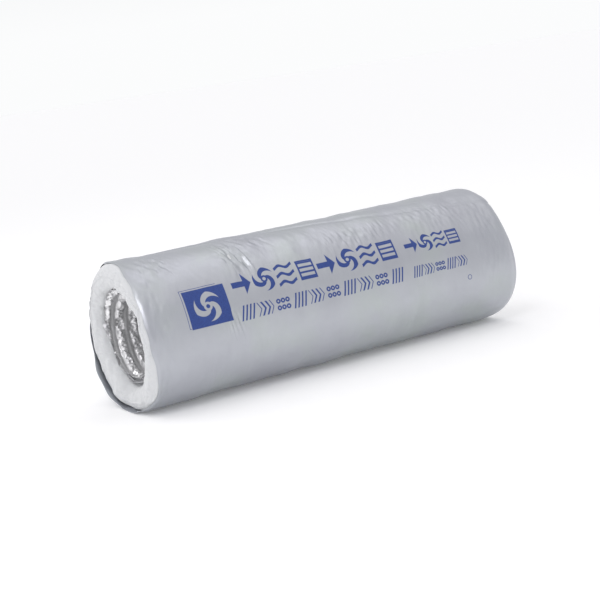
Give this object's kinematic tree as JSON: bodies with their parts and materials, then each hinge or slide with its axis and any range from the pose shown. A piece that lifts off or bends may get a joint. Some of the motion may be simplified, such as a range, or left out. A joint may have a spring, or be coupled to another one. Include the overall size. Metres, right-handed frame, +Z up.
{
  "type": "insulated flexible air duct",
  "caption": "Insulated flexible air duct: foil core on a spring wire helix, fibre blanket and metallised film jacket; it pulls out in length and bends.",
  "frame": {"origin": "on the floor under the middle of the duct's length", "axes": "+X along the duct from its near end to its far end, +Y across it, +Z up"},
  "size_m": [0.4796, 0.16, 0.16],
  "materials": {
    "jacket_film": "satin",
    "blanket_fibre": "matte",
    "core_foil": "gloss",
    "spring_wire": "satin"
  },
  "bodies": {
    "section_01": {"jacket_01": "jacket_film", "insulation_01": "blanket_fibre", "outer_ply_01": "core_foil", "wire_01": "spring_wire", "inner_ply_01": "core_foil"},
    "section_02": {"jacket_02": "jacket_film", "insulation_02": "blanket_fibre", "outer_ply_02": "core_foil", "wire_02": "spring_wire", "inner_ply_02": "core_foil"},
    "section_03": {"jacket_03": "jacket_film", "insulation_03": "blanket_fibre", "outer_ply_03": "core_foil", "wire_03": "spring_wire", "inner_ply_03": "core_foil"},
    "section_04": {"jacket_04": "jacket_film", "insulation_04": "blanket_fibre", "outer_ply_04": "core_foil", "wire_04": "spring_wire", "inner_ply_04": "core_foil"},
    "section_05": {"jacket_05": "jacket_film", "insulation_05": "blanket_fibre", "outer_ply_05": "core_foil", "wire_05": "spring_wire", "inner_ply_05": "core_foil"},
    "section_06": {"jacket_06": "jacket_film", "insulation_06": "blanket_fibre", "outer_ply_06": "core_foil", "wire_06": "spring_wire", "inner_ply_06": "core_foil"},
    "section_07": {"jacket_07": "jacket_film", "insulation_07": "blanket_fibre", "outer_ply_07": "core_foil", "wire_07": "spring_wire", "inner_ply_07": "core_foil"},
    "section_08": {"jacket_08": "jacket_film", "insulation_08": "blanket_fibre", "outer_ply_08": "core_foil", "wire_08": "spring_wire", "inner_ply_08": "core_foil"},
    "section_09": {"jacket_09": "jacket_film", "insulation_09": "blanket_fibre", "outer_ply_09": "core_foil", "wire_09": "spring_wire", "inner_ply_09": "core_foil"},
    "section_10": {"jacket_10": "jacket_film", "insulation_10": "blanket_fibre", "outer_ply_10": "core_foil", "wire_10": "spring_wire", "inner_ply_10": "core_foil"},
    "section_11": {"jacket_11": "jacket_film", "insulation_11": "blanket_fibre", "outer_ply_11": "core_foil", "wire_11": "spring_wire", "inner_ply_11": "core_foil"},
    "section_12": {"jacket_12": "jacket_film", "insulation_12": "blanket_fibre", "outer_ply_12": "core_foil", "wire_12": "spring_wire", "inner_ply_12": "core_foil"}
  },
  "joints": [
    {"name": "bend_near", "type": "hinge", "parent": "section_01", "child": "section_02", "pos_m": [-0.2, 0.08, 0.064], "axis": [0, 0, 1], "range_deg": [0, 20]},
    {"name": "stretch", "type": "slide", "parent": "section_02", "child": "section_03", "axis": [1, 0, 0], "range_m": [0, 0.065]},
    {"name": "bend_near_2", "type": "hinge", "parent": "section_03", "child": "section_04", "pos_m": [-0.12, 0.08, 0.064], "axis": [0, 0, 1], "range_deg": [0, 20]},
    {"name": "stretch_2", "type": "slide", "parent": "section_04", "child": "section_05", "axis": [1, 0, 0], "range_m": [0, 0.065]},
    {"name": "bend_near_3", "type": "hinge", "parent": "section_05", "child": "section_06", "pos_m": [-0.04, 0.08, 0.064], "axis": [0, 0, 1], "range_deg": [0, 20]},
    {"name": "stretch_3", "type": "slide", "parent": "section_06", "child": "section_07", "axis": [1, 0, 0], "range_m": [0, 0.065]},
    {"name": "bend_far", "type": "hinge", "parent": "section_07", "child": "section_08", "pos_m": [0.04, -0.08, 0.064], "axis": [0, 0, 1], "range_deg": [-20, 0]},
    {"name": "stretch_4", "type": "slide", "parent": "section_08", "child": "section_09", "axis": [1, 0, 0], "range_m": [0, 0.065]},
    {"name": "bend_far_2", "type": "hinge", "parent": "section_09", "child": "section_10", "pos_m": [0.12, -0.08, 0.064], "axis": [0, 0, 1], "range_deg": [-20, 0]},
    {"name": "stretch_5", "type": "slide", "parent": "section_10", "child": "section_11", "axis": [1, 0, 0], "range_m": [0, 0.065]},
    {"name": "bend_far_3", "type": "hinge", "parent": "section_11", "child": "section_12", "pos_m": [0.2, -0.08, 0.064], "axis": [0, 0, 1], "range_deg": [-20, 0]}
  ],
  "couplings": [
    {"joint": "bend_near_2", "follows": "bend_near", "ratio": 1},
    {"joint": "stretch_2", "follows": "stretch", "ratio": 1},
    {"joint": "bend_near_3", "follows": "bend_near", "ratio": 1},
    {"joint": "stretch_3", "follows": "stretch", "ratio": 1},
    {"joint": "stretch_4", "follows": "stretch", "ratio": 1},
    {"joint": "bend_far_2", "follows": "bend_far", "ratio": 1},
    {"joint": "stretch_5", "follows": "stretch", "ratio": 1},
    {"joint": "bend_far_3", "follows": "bend_far", "ratio": 1}
  ]
}
